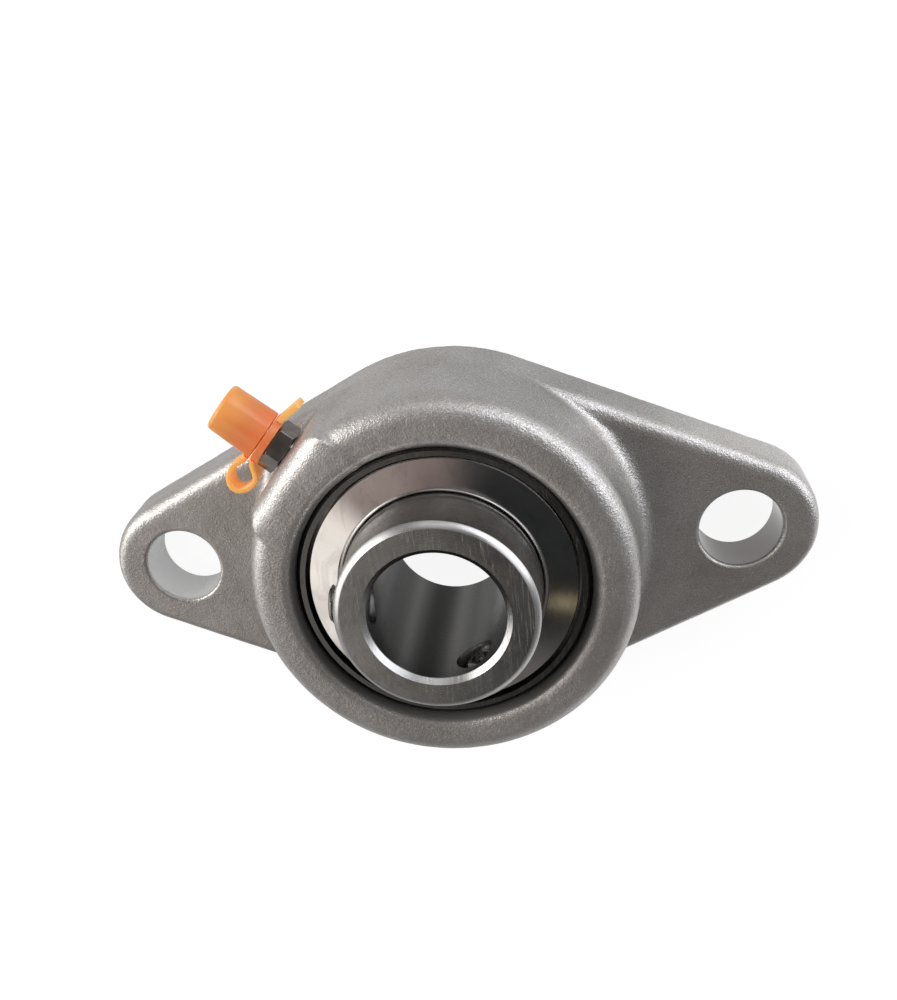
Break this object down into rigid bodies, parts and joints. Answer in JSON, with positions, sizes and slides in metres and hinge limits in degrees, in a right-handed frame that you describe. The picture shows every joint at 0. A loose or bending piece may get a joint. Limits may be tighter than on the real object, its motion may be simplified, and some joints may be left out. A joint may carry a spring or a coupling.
{
  "type": "flanged bearing housing",
  "caption": "Oval two-bolt flange housing with a self-aligning ball bearing insert, grub screws, grease nipple and tethered dust cap.",
  "frame": {"origin": "shaft axis where it crosses the flange's mounting face, midway between the bolt holes", "axes": "+Z along the shaft bore from the mounting face to the nose, +X through the bolt holes"},
  "size_m": [0.1138, 0.0609, 0.0333],
  "materials": {
    "cast_stainless": "bead-blasted cast stainless steel",
    "ring_steel": "ground and polished stainless bearing steel",
    "polished_steel": "mirror-polished pressed steel",
    "seal_steel": "pressed steel",
    "seal_rubber": "black nitrile rubber",
    "cage_steel": "pressed steel ribbon",
    "ball_steel": "polished balls",
    "screw_steel": "machined stainless screw",
    "nipple_metal": "dark nickel plating",
    "spring_steel": "spring wire",
    "orange_plastic": "translucent orange polyethylene"
  },
  "bodies": {
    "housing": {"housing": "cast_stainless", "grease_nipple": "nipple_metal", "nipple_spring": "spring_steel", "cap_tether_ring": "orange_plastic", "cap_strap": "orange_plastic"},
    "insert": {"outer_ring": "ring_steel", "front_seal_plate": "seal_steel", "back_seal_plate": "seal_steel", "front_seal_lip": "seal_rubber", "back_seal_lip": "seal_rubber"},
    "inner_race": {"inner_ring": "ring_steel", "front_slinger": "polished_steel", "back_slinger": "polished_steel"},
    "cage": {"cage_front": "cage_steel", "cage_back": "cage_steel", "cage_rivets": "cage_steel"},
    "ball_1": {"ball_1": "ball_steel"},
    "ball_2": {"ball_2": "ball_steel"},
    "ball_3": {"ball_3": "ball_steel"},
    "ball_4": {"ball_4": "ball_steel"},
    "ball_5": {"ball_5": "ball_steel"},
    "ball_6": {"ball_6": "ball_steel"},
    "ball_7": {"ball_7": "ball_steel"},
    "ball_8": {"ball_8": "ball_steel"},
    "screw_1": {"set_screw_1": "screw_steel"},
    "screw_2": {"set_screw_2": "screw_steel"},
    "check_ball": {"nipple_ball": "ball_steel"},
    "cap": {"dust_cap": "orange_plastic"}
  },
  "joints": [
    {"name": "insert_align", "type": "hinge", "parent": "housing", "child": "insert", "pos_m": [0, 0, 0.015], "axis": [1, 0, 0], "range_deg": [-3, 3]},
    {"name": "shaft_spin", "type": "hinge", "parent": "insert", "child": "inner_race", "pos_m": [0, 0, 0.015], "axis": [0, 0, 1], "continuous": true},
    {"name": "cage_spin", "type": "hinge", "parent": "insert", "child": "cage", "pos_m": [0, 0, 0.015], "axis": [0, 0, 1], "continuous": true},
    {"name": "ball_1_roll", "type": "hinge", "parent": "cage", "child": "ball_1", "pos_m": [0.01547, 0.00641, 0.015], "axis": [0, 0, 1], "continuous": true},
    {"name": "ball_2_roll", "type": "hinge", "parent": "cage", "child": "ball_2", "pos_m": [0.00641, 0.01547, 0.015], "axis": [0, 0, 1], "continuous": true},
    {"name": "ball_3_roll", "type": "hinge", "parent": "cage", "child": "ball_3", "pos_m": [-0.00641, 0.01547, 0.015], "axis": [0, 0, 1], "continuous": true},
    {"name": "ball_4_roll", "type": "hinge", "parent": "cage", "child": "ball_4", "pos_m": [-0.01547, 0.00641, 0.015], "axis": [0, 0, 1], "continuous": true},
    {"name": "ball_5_roll", "type": "hinge", "parent": "cage", "child": "ball_5", "pos_m": [-0.01547, -0.00641, 0.015], "axis": [0, 0, 1], "continuous": true},
    {"name": "ball_6_roll", "type": "hinge", "parent": "cage", "child": "ball_6", "pos_m": [-0.00641, -0.01547, 0.015], "axis": [0, 0, 1], "continuous": true},
    {"name": "ball_7_roll", "type": "hinge", "parent": "cage", "child": "ball_7", "pos_m": [0.00641, -0.01547, 0.015], "axis": [0, 0, 1], "continuous": true},
    {"name": "ball_8_roll", "type": "hinge", "parent": "cage", "child": "ball_8", "pos_m": [0.01547, -0.00641, 0.015], "axis": [0, 0, 1], "continuous": true},
    {"name": "set_screw_1_travel", "type": "slide", "parent": "inner_race", "child": "screw_1", "axis": [0.9981, -0.061, 0], "range_m": [-0.0015, 0.0008]},
    {"name": "set_screw_2_travel", "type": "slide", "parent": "inner_race", "child": "screw_2", "axis": [-0.4462, 0.8949, 0], "range_m": [-0.0015, 0.0008]},
    {"name": "check_ball_press", "type": "slide", "parent": "housing", "child": "check_ball", "axis": [0.7373, -0.6756, 0], "range_m": [0, 0.001], "stiffness_N_per_m": 300, "springref_m": -0.002, "deforming": ["nipple_spring"]},
    {"name": "cap_pull", "type": "slide", "parent": "housing", "child": "cap", "axis": [-0.7373, 0.6756, 0], "range_m": [0, 0.0085], "deforming": ["cap_strap"]}
  ],
  "couplings": [
    {"joint": "cage_spin", "follows": "shaft_spin", "ratio": 0.38152},
    {"joint": "ball_1_roll", "follows": "shaft_spin", "ratio": -1.9916},
    {"joint": "ball_2_roll", "follows": "shaft_spin", "ratio": -1.9916},
    {"joint": "ball_3_roll", "follows": "shaft_spin", "ratio": -1.9916},
    {"joint": "ball_4_roll", "follows": "shaft_spin", "ratio": -1.9916},
    {"joint": "ball_5_roll", "follows": "shaft_spin", "ratio": -1.9916},
    {"joint": "ball_6_roll", "follows": "shaft_spin", "ratio": -1.9916},
    {"joint": "ball_7_roll", "follows": "shaft_spin", "ratio": -1.9916},
    {"joint": "ball_8_roll", "follows": "shaft_spin", "ratio": -1.9916}
  ]
}
